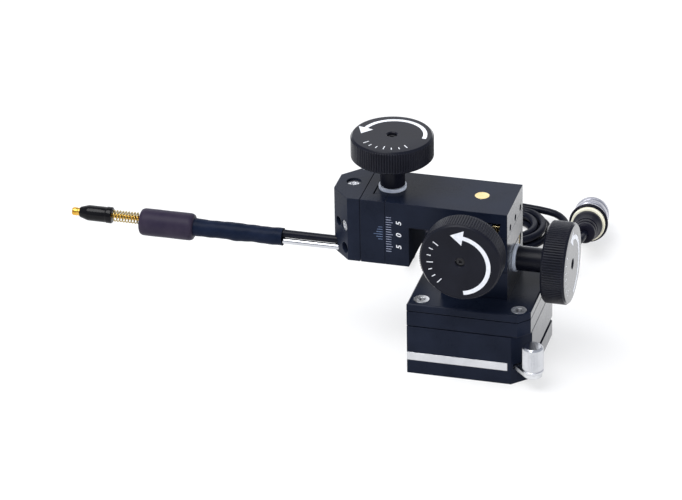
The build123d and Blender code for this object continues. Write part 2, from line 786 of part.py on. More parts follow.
def half_circle(centre_x, centre_y, radius, side, level):
    """Half a turn of the coil, clockwise from above, at its left (-1) or right (+1) end."""
    start = (centre_x, centre_y + side * radius, level)
    middle = (centre_x + side * radius, centre_y, level)
    end = (centre_x, centre_y - side * radius, level)
    return ThreePointArc(start, middle, end)


def coil_path():
    """Long turns that spiral in on the lower layer, climb on the inmost run and spiral out above."""
    step = cable_pitch / 2
    left_x = coil_right_x - coil_run
    path = []
    radius = coil_outer_radius
    centres = {-1: coil_y, 1: coil_y + step}
    side = -1
    for turn in range(coil_half_turns):
        centre_x = left_x if side < 0 else coil_right_x
        path.append(half_circle(centre_x, centres[side], radius, side, cable_floor))
        run_y = centres[side] - side * radius
        last = turn == coil_half_turns - 1
        if not last:
            ends = (left_x, coil_right_x) if side < 0 else (coil_right_x, left_x)
            path.append(Line((ends[0], run_y, cable_floor), (ends[1], run_y, cable_floor)))
            radius -= step
            side = -side
    climb_points = [(coil_right_x, run_y, cable_floor), (coil_right_x - climb_ease, run_y, cable_floor),
                    (left_x + climb_ease, run_y, upper_layer), (left_x, run_y, upper_layer)]
    path += route_path(climb_points, "coil climb").edges()
    centres = {-1: coil_y + step, 1: coil_y}
    side = -1
    for turn in range(coil_half_turns - 1):
        centre_x = left_x if side < 0 else coil_right_x
        path.append(half_circle(centre_x, centres[side], radius, side, upper_layer))
        run_y = centres[side] - side * radius
        ends = (left_x, coil_right_x) if side < 0 else (coil_right_x, left_x)
        path.append(Line((ends[0], run_y, upper_layer), (ends[1], run_y, upper_layer)))
        radius += step
        side = -side
    return path


def least_gap(path, radius):
    """The least space between two stretches of the coil that are more than a few diameters apart."""
    spacing = 1.5
    apart = 14
    points = []
    for edge in path:
        count = max(2, int(edge.length / spacing))
        points += [edge @ (step / count) for step in range(count)]
    nearest = math.inf
    for first in range(len(points)):
        for second in range(first + apart, len(points)):
            nearest = min(nearest, (points[first] - points[second]).length)
    return nearest - 2 * radius


def cable_pieces():
    save(checked_tube(route_path(lead_points, "lead"), cable_radius, "lead"), "cable_lead")
    coil = coil_path()
    save(checked_tube(coil, cable_radius, "coil"), "cable_coil")
    print("coil least gap %.2f" % least_gap(coil, cable_radius))
    save(checked_tube(route_path(tail_points, "tail"), cable_radius, "tail"), "cable_tail")
    save(cable_tie(), "cable_tie")
    connector_pieces()


def connector_pieces():
    """The connector lies on the floor on its shell's rim, and its boot rises to the cable."""
    plug = Plane(origin=tuple(plug_place), x_dir=(math.cos(lean), math.sin(lean), 0), z_dir=tuple(plug_way))
    inner = cable_radius + boot_seat_gap
    narrow = boot_tail_radius + boot_lip_step
    boot = turned([(0, inner), (0, boot_tail_radius - boot_lip_step), (boot_lip, boot_tail_radius),
                   (boot_grip_start, narrow + boot_lip_step / 2), (boot_grip_end, boot_radius),
                   (boot_length, boot_radius), (boot_length, 0), (boot_lip, 0), (boot_lip, inner)], plug)
    save(boot, "connector_boot")
    seal_start = boot_length + flange_length
    seal_end = seal_start + seal_length
    seat = shell_radius - seal_depth
    bore = shell_radius - shell_wall
    floor = seal_start + shell_floor
    shell = turned([(boot_length, 0), (boot_length, flange_radius), (seal_start, flange_radius),
                    (seal_start, seat), (seal_end, seat), (seal_end, shell_radius), (plug_length, shell_radius),
                    (plug_length, bore), (floor, bore), (floor, 0)], plug)
    contact_end = floor + contact_length
    contact = turned([(floor, 0), (floor, contact_radius), (contact_end, contact_radius), (contact_end, 0)],
                     plug)
    save(shell + contact, "connector_shell")
    seal = turned([(seal_start, seat + boot_seat_gap), (seal_start, seal_radius), (seal_end, seal_radius),
                   (seal_end, seat + boot_seat_gap)], plug)
    save(seal, "connector_seal")


def cable_tie():
    """A flat strap round the three by two runs at the back of the coil."""
    outer_y = coil_y + coil_outer_radius
    inner_y = outer_y - 2 * cable_pitch
    low = (inner_y - cable_radius - tie_gap, tie_thickness)
    high = (outer_y + cable_radius + tie_gap, upper_layer + cable_radius + tie_gap)
    x = coil_right_x - tie_inset
    strap = box((x - tie_width, low[0] - tie_thickness, 0.0),
                (x, high[0] + tie_thickness, high[1] + tie_thickness))
    return strap - box((x - tie_width - 1, low[0], low[1]), (x + 1, high[0], high[1]))


base_pieces()
plate_pieces()
stage_bodies()
drive_pieces("x", x_plane, half_stage, x_nut_top)
drive_pieces("y", y_plane, half_stage, bar_height)
drive_pieces("z", z_plane, half_column, z_nut_top)
clamp_pieces()
arm_pieces()
cable_pieces()
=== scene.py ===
import math

import bmesh
import bpy
import numpy as np
from mathutils import Matrix, Vector


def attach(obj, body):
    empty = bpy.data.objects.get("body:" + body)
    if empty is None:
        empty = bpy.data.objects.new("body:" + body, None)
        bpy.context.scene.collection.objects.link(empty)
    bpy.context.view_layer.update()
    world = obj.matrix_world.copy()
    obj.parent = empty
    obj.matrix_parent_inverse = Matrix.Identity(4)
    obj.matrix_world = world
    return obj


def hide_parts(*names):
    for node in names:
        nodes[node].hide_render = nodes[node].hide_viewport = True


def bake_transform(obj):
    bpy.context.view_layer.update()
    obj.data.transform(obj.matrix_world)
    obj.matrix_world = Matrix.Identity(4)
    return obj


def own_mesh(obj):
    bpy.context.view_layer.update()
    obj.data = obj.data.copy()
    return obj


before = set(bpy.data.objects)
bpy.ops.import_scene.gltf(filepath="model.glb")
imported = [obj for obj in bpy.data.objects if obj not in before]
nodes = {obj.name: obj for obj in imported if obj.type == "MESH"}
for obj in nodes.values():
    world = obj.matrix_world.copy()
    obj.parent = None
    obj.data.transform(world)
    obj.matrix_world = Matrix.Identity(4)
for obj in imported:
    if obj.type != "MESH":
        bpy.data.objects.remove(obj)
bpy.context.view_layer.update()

MM = 0.001

# Sizes in millimetres, the same as in the solids
half_stage = 12.5
bar_top = 64.1
hub_length, hub_radius = 11.4, 4.6
knob_thickness, knob_radius = 9.1, 15.3
washer_thickness = 1.2
x_knob_z, y_knob_z, z_knob_x = 40.3, 54.5, -33.6
lever_reach, lever_top = 35.5, 7.7
lever_knob_radius, lever_knob_height = 3.95, 10.6
gland_x, gland_length = -45.6, 12.0
elbow_radius = 9.0
cable_radius = 1.4
front_cable_radius, front_cable_z = 1.5, 42.45
arm_y = -5.2
probe_z = 42.0
sleeve_left, sleeve_right, sleeve_radius, sleeve_z = -108.7, -74.45, 3.3, 40.95
collar_left, collar_radius, collar_z = -129.7, 5.15, 40.85
spring_radius, spring_wire, spring_turns = 2.0, 0.25, 9
tip_sleeve_left, tip_sleeve_right = -153.4, -140.65
tip_end = -156.35
cable_floor, cable_pitch = 2.15, 3.3
upper_layer = cable_floor + cable_pitch
coil_right_x, coil_run, coil_y = -10.6, 49.0, 88.0
coil_outer_radius, coil_half_turns = 16.85, 6
climb_ease = 6.0
plug_length, shell_radius = 29.8, 6.8
plug_droop, plug_lean = math.radians(12.5), math.radians(6.5)
plug_place = np.array([22.7, 73.5, plug_length * math.sin(plug_droop)
                       + shell_radius * math.cos(plug_droop)])
plug_way = np.array([-math.sin(plug_lean) * math.cos(plug_droop),
                     math.cos(plug_lean) * math.cos(plug_droop), -math.sin(plug_droop)])
plug_right = np.array([math.cos(plug_lean), math.sin(plug_lean), 0.0])
tail_straight = 8.0
scale_zero, scale_left, numeral_x, numeral_height = 50.95, -33.1, -28.2, 2.6
slide_lines_middle, slide_lines_right = 51.2, -34.4


def put(name, data):
    """An object made from its data and linked into the scene."""
    made = bpy.data.objects.new(name, data)
    bpy.context.scene.collection.objects.link(made)
    return made


# Camera

def place_camera():
    """The photograph's own view: a long lens that looks down and from the right, with the base's
    front left corner on its place in the picture. The focal length in pixels over the picture's
    width gives the lens."""
    focal, width, height = 4700.0, 682.0, 500.0
    elevation, azimuth, roll = (math.radians(a) for a in (28.3, 15.5, 1.1))
    corner, corner_pixel = Vector((-22.5, -23.25, 0)) * MM, (408.2, 372.3)
    distance = 1.735
    forward = Vector((-math.sin(azimuth) * math.cos(elevation),
                      math.cos(azimuth) * math.cos(elevation), -math.sin(elevation)))
    level = Vector((math.cos(azimuth), math.sin(azimuth), 0))
    down = forward.cross(level)
    right = level * math.cos(roll) + down * math.sin(roll)
    down = down * math.cos(roll) - level * math.sin(roll)
    across = (corner_pixel[0] - width / 2) / focal
    below = (corner_pixel[1] - height / 2) / focal
    place = corner - (right * across + down * below + forward) * distance
    data = bpy.data.cameras.new("camera")
    data.sensor_width = 36
    data.lens = focal / width * data.sensor_width
    data.clip_end = 20
    camera = put("camera", data)
    camera.matrix_world = Matrix((
        (right.x, -down.x, -forward.x, place.x), (right.y, -down.y, -forward.y, place.y),
        (right.z, -down.z, -forward.z, place.z), (0, 0, 0, 1)))
    bpy.context.scene.camera = camera


place_camera()


# Node helpers for the finishes

def join(tree, source, target):
    """A link from an output to an input."""
    tree.links.new(source, target)


def add(tree, kind, **values):
    """A node with its settings. A value called in_NAME or in_NUMBER is for that input: an output
    is linked to it, and a number or colour is written on it."""
    made = tree.nodes.new(kind)
    for name, value in values.items():
        if not name.startswith("in_"):
            setattr(made, name, value)
            continue
        key = name[3:]
        socket = made.inputs[int(key) if key.isdigit() else key.replace("_", " ")]
        if isinstance(value, bpy.types.NodeSocket):
            join(tree, value, socket)
        else:
            socket.default_value = value
    return made


def worked_out(tree, operation, first, second, **settings):
    """The result of one sum on two numbers or outputs."""
    return add(tree, "ShaderNodeMath", operation=operation, in_0=first, in_1=second,
               **settings).outputs[0]


def ranged(tree, value, low, high, to_low=0.0, to_high=1.0):
    """A value carried from the range low to high over to another, and held inside it."""
    return add(tree, "ShaderNodeMapRange", in_0=value, in_1=low, in_2=high, in_3=to_low,
               in_4=to_high).outputs[0]


def blended(tree, share, first, second):
    """A colour between two others, each given as a colour or an output."""
    return add(tree, "ShaderNodeMix", data_type="RGBA", in_0=share, in_6=first,
               in_7=second).outputs[2]


def make_group(name, inputs, outputs):
    """A shader node group with named number inputs and named outputs."""
    group = bpy.data.node_groups.new(name, "ShaderNodeTree")
    for label, value in inputs:
        socket = group.interface.new_socket(name=label, in_out="INPUT",
                                            socket_type="NodeSocketFloat")
        socket.default_value = value
    for label, kind in outputs:
        group.interface.new_socket(name=label, in_out="OUTPUT", socket_type=kind)
    return group, group.nodes.new("NodeGroupInput"), group.nodes.new("NodeGroupOutput")


def edge_wear_group():
    """Mask shows corners: one minus the cosine between the rounded normal and the face's own,
    times the gain, broken up by noise. Normal is the rounded normal. The radius is in metres."""
    group, ins, outs = make_group(
        "edge_wear", [("Radius", 0.0003), ("Gain", 6.0), ("Breakup", 900.0)],
        [("Mask", "NodeSocketFloat"), ("Normal", "NodeSocketVector")])
    bevel = add(group, "ShaderNodeBevel", samples=6, in_Radius=ins.outputs["Radius"])
    geometry = add(group, "ShaderNodeNewGeometry")
    cosine = add(group, "ShaderNodeVectorMath", operation="DOT_PRODUCT", in_0=bevel.outputs[0],
                 in_1=geometry.outputs["Normal"])
    turned_away = worked_out(group, "SUBTRACT", 1.0, cosine.outputs["Value"])
    gained = worked_out(group, "MULTIPLY", turned_away, ins.outputs["Gain"])
    place = add(group, "ShaderNodeTexCoord")
    noise = add(group, "ShaderNodeTexNoise", in_Detail=3.0, in_Vector=place.outputs["Object"],
                in_Scale=ins.outputs["Breakup"])
    broken = ranged(group, noise.outputs[0], 0.35, 0.75, 0.25)
    mask = worked_out(group, "MULTIPLY", gained, broken, use_clamp=True)
    join(group, mask, outs.inputs["Mask"])
    join(group, bevel.outputs[0], outs.inputs["Normal"])
    return group


def grain_group():
    """Two sizes of noise: a fine grain for height and gloss, and broad faint clouds for colour
    and handling marks."""
    group, ins, outs = make_group(
        "grain", [("Fine", 5000.0), ("Broad", 90.0), ("Stretch X", 1.0), ("Stretch Y", 1.0),
                  ("Stretch Z", 1.0)],
        [("Grain", "NodeSocketFloat"), ("Clouds", "NodeSocketFloat")])
    place = add(group, "ShaderNodeTexCoord")
    stretch = add(group, "ShaderNodeCombineXYZ")
    for axis in "XYZ":
        join(group, ins.outputs["Stretch " + axis], stretch.inputs[axis])
    scaled = add(group, "ShaderNodeVectorMath", operation="MULTIPLY",
                 in_0=place.outputs["Object"], in_1=stretch.outputs[0])
    fine = add(group, "ShaderNodeTexNoise", in_Detail=2.0, in_Vector=scaled.outputs[0],
               in_Scale=ins.outputs["Fine"])
    broad = add(group, "ShaderNodeTexNoise", in_Detail=4.0, in_Vector=place.outputs["Object"],
                in_Scale=ins.outputs["Broad"])
    join(group, fine.outputs[0], outs.inputs["Grain"])
    join(group, broad.outputs[0], outs.inputs["Clouds"])
    return group


def leg_shade_group():
    """Open is 0 on the leg's inner face, which keeps its matt blasted finish, and 1 elsewhere: a
    face is the inner one where its normal points to +X and it is 20 mm or more left of the
    middle."""
    group, _, outs = make_group("leg_shade", [], [("Open", "NodeSocketFloat")])
    place = add(group, "ShaderNodeTexCoord")
    across = add(group, "ShaderNodeSeparateXYZ", in_0=place.outputs["Object"])
    right_of = ranged(group, across.outputs["X"], -0.020, -0.014)
    surface = add(group, "ShaderNodeNewGeometry")
    way = add(group, "ShaderNodeSeparateXYZ", in_0=surface.outputs["Normal"])
    turned_away = ranged(group, way.outputs["X"], 0.95, 0.8)
    join(group, worked_out(group, "MAXIMUM", right_of, turned_away), outs.inputs["Open"])
    return group


edge_wear = edge_wear_group()
grain = grain_group()
leg_shade = leg_shade_group()


def finish(name, dark, light, worn, rough, metallic=0.0, fine=5000.0, broad=90.0,
           stretch=(1, 1, 1), bump=0.15, wear=0.5, edge=0.0003, level=0.5, grazing=0.0,
           coat_index=1.5, shade_reach=0.0):
    """A finish whose colour goes from dark to light with the clouds and to worn on the corners,
    whose gloss goes between the two roughnesses with the clouds and the grain, and whose grain
    stands up as a fine bump. Where grazing is given, a clear coat of that weight shows on faces
    seen at a low angle, but not on the leg's inner face. Where a shade reach in metres is given,
    sockets and slots narrower than it get painted shade: their colour goes near black."""
    material = bpy.data.materials.new(name)
    material.use_nodes = True
    tree = material.node_tree
    shader = tree.nodes["Principled BSDF"]
    for label, value in (("Metallic", metallic), ("Specular IOR Level", level),
                         ("Coat Roughness", 0.2), ("Coat IOR", coat_index)):
        shader.inputs[label].default_value = value
    corners = add(tree, "ShaderNodeGroup", node_tree=edge_wear, in_Radius=edge)
    marks = add(tree, "ShaderNodeGroup", node_tree=grain, in_Fine=fine, in_Broad=broad,
                in_Stretch_X=stretch[0], in_Stretch_Y=stretch[1], in_Stretch_Z=stretch[2])
    clouds, fine_grain = marks.outputs["Clouds"], marks.outputs["Grain"]
    body = blended(tree, ranged(tree, clouds, 0.3, 0.7), (*dark, 1), (*light, 1))
    amount = worked_out(tree, "MULTIPLY", corners.outputs["Mask"], wear)
    colour = blended(tree, amount, body, (*worn, 1))
    # Painted shade: the colour goes near black in sockets and slots, where shade falls.
    if shade_reach:
        shade_occlusion = add(tree, "ShaderNodeAmbientOcclusion", samples=8, in_Distance=shade_reach)
        depth = ranged(tree, shade_occlusion.outputs["AO"], 0.45, 0.80, 0.03)
        colour = blended(tree, depth, (0.01, 0.01, 0.012, 1), colour)
    join(tree, colour, shader.inputs["Base Color"])
    gloss = worked_out(tree, "ADD", clouds, fine_grain)
    roughness = ranged(tree, gloss, 0.6, 1.4, *rough)
    height = add(tree, "ShaderNodeBump", in_Strength=bump, in_Distance=0.00002,
                 in_Height=fine_grain, in_Normal=corners.outputs["Normal"])
    join(tree, height.outputs[0], shader.inputs["Normal"])
    if grazing:
        facing = add(tree, "ShaderNodeLayerWeight", in_Blend=0.5)
        coat = ranged(tree, facing.outputs["Facing"], 0.60, 0.76, 0.0, grazing)
        outside = add(tree, "ShaderNodeGroup", node_tree=leg_shade).outputs["Open"]
        join(tree, worked_out(tree, "MULTIPLY", coat, outside), shader.inputs["Coat Weight"])
        matt = ranged(tree, outside, 0.0, 1.0, 0.95, 0.0)
        roughness = worked_out(tree, "MAXIMUM", roughness, matt)
    join(tree, roughness, shader.inputs["Roughness"])
    return material


anodised = finish(
    "black_anodised", (0.006, 0.009, 0.019), (0.010, 0.014, 0.028), (0.035, 0.04, 0.06),
    (0.24, 0.36), fine=4500, grazing=0.9, wear=0.3, level=0.08, coat_index=1.9)
knob_anodised = finish(
    "knob_anodised", (0.005, 0.0055, 0.010), (0.009, 0.010, 0.017), (0.07, 0.07, 0.085),
    (0.26, 0.40), fine=6000, grazing=0.85, wear=0.35, edge=0.00015, level=0.12, coat_index=2.2)
aluminium = finish(
    "bare_aluminium", (0.56, 0.57, 0.60), (0.72, 0.73, 0.76), (0.95, 0.95, 0.96),
    (0.16, 0.30), metallic=1.0, fine=9000, stretch=(0.05, 1, 1), bump=0.25, wear=0.3)
turned_aluminium = finish(
    "turned_aluminium", (0.56, 0.57, 0.60), (0.74, 0.75, 0.78), (0.95, 0.95, 0.96),
    (0.14, 0.26), metallic=1.0, fine=7000, stretch=(1, 1, 0.2), bump=0.2, wear=0.3)
steel = finish(
    "plated_steel", (0.58, 0.59, 0.61), (0.78, 0.79, 0.81), (0.9, 0.9, 0.91),
    (0.16, 0.32), metallic=1.0, fine=6000, broad=300, wear=0.4)
# The screws' sockets and counterbores get painted shade.
bright_steel = finish(
    "bright_steel", (0.80, 0.81, 0.83), (0.92, 0.93, 0.95), (0.97, 0.97, 0.98),
    (0.22, 0.38), metallic=1.0, fine=6000, broad=300, wear=0.4, shade_reach=0.0012)
clean_steel = finish(
    "clean_steel", (0.84, 0.85, 0.87), (0.95, 0.95, 0.97), (0.97, 0.97, 0.98),
    (0.24, 0.40), metallic=1.0, fine=6000, broad=300, wear=0.4)
rod_steel = finish(
    "drawn_rod_steel", (0.50, 0.51, 0.54), (0.66, 0.67, 0.70), (0.9, 0.9, 0.91),
    (0.06, 0.14), metallic=1.0, fine=6000, stretch=(0.05, 1, 1), bump=0.1, wear=0.2)
black_steel = finish(
    "black_oxide_steel", (0.012, 0.012, 0.014), (0.028, 0.028, 0.032), (0.20, 0.20, 0.21),
    (0.3, 0.45), metallic=0.6, fine=6000)
ground_steel = finish(
    "ground_steel", (0.34, 0.34, 0.36), (0.46, 0.46, 0.48), (0.6, 0.6, 0.6),
    (0.22, 0.4), metallic=1.0, fine=6000, stretch=(1, 0.05, 1), bump=0.4)
brass = finish(
    "turned_brass", (0.70, 0.52, 0.22), (0.88, 0.72, 0.40), (0.98, 0.86, 0.55),
    (0.18, 0.34), metallic=1.0, fine=6000, broad=300)
gold = finish(
    "gold_plate", (0.66, 0.36, 0.05), (0.84, 0.52, 0.11), (1.0, 0.78, 0.34),
    (0.10, 0.22), metallic=1.0, fine=8000, broad=400, bump=0.08)
spring_gold = finish(
    "spring_gold", (0.36, 0.27, 0.09), (0.54, 0.42, 0.17), (0.8, 0.66, 0.34),
    (0.14, 0.28), metallic=1.0, fine=8000, broad=400, bump=0.08)
nylon = finish(
    "white_nylon", (0.62, 0.68, 0.80), (0.72, 0.77, 0.86), (0.85, 0.87, 0.9),
    (0.25, 0.38), fine=3000, broad=200, bump=0.05)
shrink = finish(
    "shrink_tube", (0.005, 0.009, 0.022), (0.009, 0.014, 0.032), (0.02, 0.025, 0.05),
    (0.30, 0.46), fine=2600, broad=160, bump=0.35, wear=0.2, level=0.05)
collar_shrink = finish(
    "shrink_collar", (0.018, 0.014, 0.030), (0.034, 0.027, 0.045), (0.05, 0.05, 0.07),
    (0.30, 0.46), fine=2600, broad=120, bump=0.35, wear=0.2, level=0.08)
tip_black = finish(
    "tip_plastic", (0.002, 0.002, 0.003), (0.005, 0.005, 0.006), (0.03, 0.03, 0.03),
    (0.10, 0.20), fine=3000, broad=300, bump=0.05, level=0.16)
jacket = finish(
    "cable_jacket", (0.003, 0.004, 0.009), (0.006, 0.007, 0.014), (0.02, 0.02, 0.03),
    (0.22, 0.36), fine=2500, broad=140, bump=0.2, wear=0.1, level=0.12)
soft_black = finish(
    "soft_black", (0.004, 0.004, 0.009), (0.007, 0.007, 0.014), (0.03, 0.03, 0.04),
    (0.30, 0.48), fine=2500, broad=150, bump=0.3, wear=0.3, level=0.12)
nickel = finish(
    "nickel_plate", (0.42, 0.42, 0.47), (0.58, 0.58, 0.64), (0.95, 0.95, 0.96),
    (0.20, 0.34), metallic=1.0, fine=7000, stretch=(1, 0.2, 1), bump=0.12)
cream = finish(
    "cream_insert", (0.80, 0.76, 0.58), (0.88, 0.85, 0.70), (0.95, 0.93, 0.85),
    (0.25, 0.4), fine=3000, bump=0.05)
milky = finish(
    "milky_nylon", (0.42, 0.42, 0.44), (0.55, 0.55, 0.57), (0.7, 0.7, 0.72),
    (0.3, 0.45), fine=2500, bump=0.1)
paint = finish(
    "white_paint", (0.66, 0.68, 0.72), (0.78, 0.79, 0.82), (0.82, 0.83, 0.84),
    (0.4, 0.55), fine=8000, broad=500, bump=0.1, wear=0.0, edge=0.00002)
scale_paint = finish(
    "grey_scale_paint", (0.20, 0.23, 0.33), (0.34, 0.37, 0.48), (0.4, 0.42, 0.5),
    (0.4, 0.55), fine=8000, broad=900, bump=0.1, wear=0.0, edge=0.00002)
faint_paint = finish(
    "worn_scale_paint", (0.06, 0.10, 0.20), (0.13, 0.19, 0.32), (0.3, 0.35, 0.5),
    (0.4, 0.55), fine=8000, broad=900, bump=0.1, wear=0.0, edge=0.00002)

CAD_FINISH = {
    anodised: ["base_housing", "middle_plate", "top_plate", "x_base", "xy_carriage", "z_bracket",
               "z_slide", "clamp_block"],
    knob_anodised: ["x_knob", "y_knob", "z_knob"],
    aluminium: ["base_stripe"],
    turned_aluminium: ["lever_knob"],
    steel: ["base_screws", "x_base_screws", "switch_lever", "lever_stud", "x_lead_screw",
            "y_lead_screw", "z_lead_screw"],
    bright_steel: ["top_plate_screws"],
    clean_steel: ["clamp_screws"],
    rod_steel: ["probe_rod"],
    black_steel: ["x_knob_screw", "y_knob_screw", "z_knob_screw", "x_gib_screws", "y_gib_screws",
                  "z_gib_screws", "clamp_block_screws", "rod_clamp_screw"],
    ground_steel: ["pole_plate", "magnet_rotor"],
    brass: ["x_bush", "y_bush", "z_bush", "x_nut", "y_nut", "z_nut", "x_gib", "y_gib", "z_gib"],
    gold: ["arm_core", "tip_spring", "probe_tip"],
    nylon: ["x_washer", "y_washer", "z_washer"],
    shrink: ["shrink_sleeve"],
    collar_shrink: ["shrink_collar"],
    tip_black: ["tip_sleeve"],
    jacket: ["front_cable", "cable_lead", "cable_coil", "cable_tail"],
    soft_black: ["cable_gland", "connector_boot", "connector_seal"],
    nickel: ["connector_shell"],
    milky: ["cable_tie"],
}
for material, names in CAD_FINISH.items():
    for name in names:
        nodes[name].data.materials.clear()
        nodes[name].data.materials.append(material)


# Surfaces. An axis is four points or directions: its origin, out along it, and right and up square
# to it.

def grid_faces(rows, columns, round_rows=False):
    """Quads between neighbouring points of a rows by columns grid, by index arithmetic. The
    columns go round, so the last joins the first, and so do round rows."""
    r = np.arange(rows if round_rows else rows - 1)[:, None]
    c = np.arange(columns)[None, :]
    right, below = (c + 1) % columns, (r + 1) % rows
    corners = [r * columns + c, r * columns + right, below * columns + right, below * columns + c]
    return np.stack(np.broadcast_arrays(*corners), -1).reshape(-1, 4).tolist()


def shade_smooth(mesh):
    """Every face shaded smooth."""
    mesh.polygons.foreach_set("use_smooth", np.ones(len(mesh.polygons), bool))


def piece(name, points, faces, body, material, stands_for=(), sharp=35.0):
    """A mesh in place, in metres, from millimetre points, with merged seams and poles, faces that
    look outwards, and hard edges where faces meet at more than the sharp angle."""
    mesh = bpy.data.meshes.new(name)
    mesh.from_pydata((np.asarray(points, float).reshape(-1, 3) * MM).tolist(), [], faces)
    work = bmesh.new()
    work.from_mesh(mesh)
    bmesh.ops.remove_doubles(work, verts=work.verts, dist=1e-7)
    bmesh.ops.dissolve_degenerate(work, edges=work.edges, dist=1e-8)
    bmesh.ops.recalc_face_normals(work, faces=work.faces)
    work.to_mesh(mesh)
    work.free()
    shade_smooth(mesh)
    mesh.set_sharp_from_angle(angle=math.radians(sharp))
    mesh.materials.append(material)
    made = put(name, mesh)
    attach(made, body)
    if stands_for:
        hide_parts(*stands_for)
    return made


def softened(profile, cut):
    """The profile with each inner corner replaced by the two ends and the middle of a parabola.
    The ends lie at the cut's length from the corner, or at 0.45 of its shorter side."""
    profile = np.asarray(profile, float)
    before, corner, after = profile[:-2], profile[1:-1], profile[2:]
    back = np.linalg.norm(before - corner, axis=1, keepdims=True)
    ahead = np.linalg.norm(after - corner, axis=1, keepdims=True)
    reach = np.minimum(cut, 0.45 * np.minimum(back, ahead))
    one = corner + (before - corner) / np.maximum(back, 1e-9) * reach
    two = corner + (after - corner) / np.maximum(ahead, 1e-9) * reach
    middle = (one + 2 * corner + two) / 4
    inner = np.stack([one, middle, two], 1).reshape(-1, profile.shape[1])
    return np.vstack([profile[:1], inner, profile[-1:]])


def turned_points(profile, axis, columns, shape=None):
    """A profile of (along, radius) turned round the axis: origin + along * out + radius *
    (cos right + sin up). shape, if given, changes the radii for all rows and angles at once."""
    profile = np.asarray(profile, float)
    angle = np.linspace(0, 2 * np.pi, columns, endpoint=False)[None, :]
    along = np.repeat(profile[:, 0:1], columns, 1)
    radius = np.repeat(profile[:, 1:2], columns, 1)
    if shape is not None:
        radius = shape(along, radius, np.broadcast_to(angle, radius.shape))
    origin, out, right, up = (np.asarray(v, float) for v in axis)
    return (origin + along[..., None] * out + (radius * np.cos(angle))[..., None] * right
            + (radius * np.sin(angle))[..., None] * up)


def turned_piece(name, profile, axis, columns, body, material, stands_for=(), shape=None,
                 sharp=35.0, closed=False):
    """A piece turned from its profile, which joins its own start where it is closed."""
    points = turned_points(profile, axis, columns, shape)
    faces = grid_faces(len(profile), columns, round_rows=closed)
    return piece(name, points, faces, body, material, stands_for, sharp)


def tube_points(path, radius, sides, flat):
    """Rings round a path: path + radius * (cos across + sin above), where across is square to the
    path and to the flat direction, and above is square to the path and to across."""
    path = np.asarray(path, float)
    tangent = np.gradient(path, axis=0)
    tangent /= np.linalg.norm(tangent, axis=1, keepdims=True)
    across = np.cross(tangent, np.asarray(flat, float))
    across /= np.linalg.norm(across, axis=1, keepdims=True)
    above = np.cross(across, tangent)
    angle = np.linspace(0, 2 * np.pi, sides, endpoint=False)[None, :, None]
    ring = np.cos(angle) * across[:, None, :] + np.sin(angle) * above[:, None, :]
    return path[:, None, :] + radius * ring


def capped_faces(rows, sides):
    """The tube's quads and a face over each end."""
    last = (rows - 1) * sides
    return grid_faces(rows, sides) + [list(range(sides))[::-1], list(range(last, last + sides))]


def blocks(centres, halves):
    """Points and faces of boxes, from their centres and half sizes."""
    signs = np.array([[x, y, z] for z in (-1, 1) for y in (-1, 1) for x in (-1, 1)], float)
    points = centres[:, None, :] + halves[:, None, :] * signs[None]
    sides = np.array([[0, 2, 3, 1], [4, 5, 7, 6], [0, 1, 5, 4], [2, 6, 7, 3], [0, 4, 6, 2],
                      [1, 3, 7, 5]])
    faces = (np.arange(len(centres))[:, None, None] * 8 + sides[None]).reshape(-1, 4)
    return points.reshape(-1, 3), faces.tolist()


# Signal cable: one cord from the gland to the connector

lead_points = [
    (gland_x, half_stage + gland_length, front_cable_z),
    (gland_x, 32.0, front_cable_z),
    (-45.2, 40.0, 35.8),
    (-44.8, 44.0, 25.0),
    (-44.2, 47.5, 13.0),
    (-43.2, 53.5, 3.4),
    (-41.8, 63.35, cable_floor),
    (-49.6, 71.15, cable_floor),
]
tail_points = [
    (0.5, 104.85, upper_layer),
    (11.3, 97.6, 4.6),
    (10.5, 86.5, 2.6),
    (6.5, 76.5, cable_floor),
    (8.8, 64.6, 6.2),
    (16.8, 58.6, 11.6),
    tuple(plug_place - plug_way * tail_straight),
    tuple(plug_place),
]


def half_turn(centre, side, radius, level):
    """Six points round half a turn of the coil, 30 degrees apart, on the radius over the cosine
    of 15 degrees, so that the smooth line between them has the turn's own radius."""
    angle = np.radians(np.arange(15, 180, 30))
    reach = side * radius / math.cos(math.radians(15))
    return np.stack([centre[0] + reach * np.sin(angle), centre[1] + reach * np.cos(angle),
                     np.full(angle.shape, level)], 1)


def coil_points():
    """The coil's turns: spiralling in on the lower layer, up along the inmost run, and out again
    on the upper one."""
    step = cable_pitch / 2
    left_x = coil_right_x - coil_run
    radii = coil_outer_radius - step * np.arange(coil_half_turns)
    turns = []
    for count, radius in enumerate(radii):
        side = -1 if count % 2 == 0 else 1
        centre = (left_x, coil_y) if side < 0 else (coil_right_x, coil_y + step)
        turns.append(half_turn(centre, side, radius, cable_floor))
    run_y = coil_y + step - radii[-1]
    turns.append(np.array([(coil_right_x - climb_ease, run_y, cable_floor),
                           (left_x + climb_ease, run_y, upper_layer)]))
    for count, radius in enumerate(radii[::-1][:-1]):
        side = -1 if count % 2 == 0 else 1
        centre = (left_x, coil_y + step) if side < 0 else (coil_right_x, coil_y)
        turns.append(half_turn(centre, side, radius, upper_layer))
    return np.vstack(turns)


def cord_curve(name, points, radius):
    """A smooth line through no point but the ends, drawn towards each, with a round section."""
    data = bpy.data.curves.new(name, "CURVE")
    data.dimensions = "3D"
    spline = data.splines.new("NURBS")
    points = np.asarray(points, float) * MM
    spline.points.add(len(points) - 1)
    spline.points.foreach_set("co", np.hstack([points, np.ones((len(points), 1))]).ravel())
    spline.order_u = 3
    spline.use_endpoint_u = True
    spline.resolution_u = 7
    data.bevel_depth = radius * MM
    data.bevel_resolution = 4
    data.use_fill_caps = True
    return put(name, data)


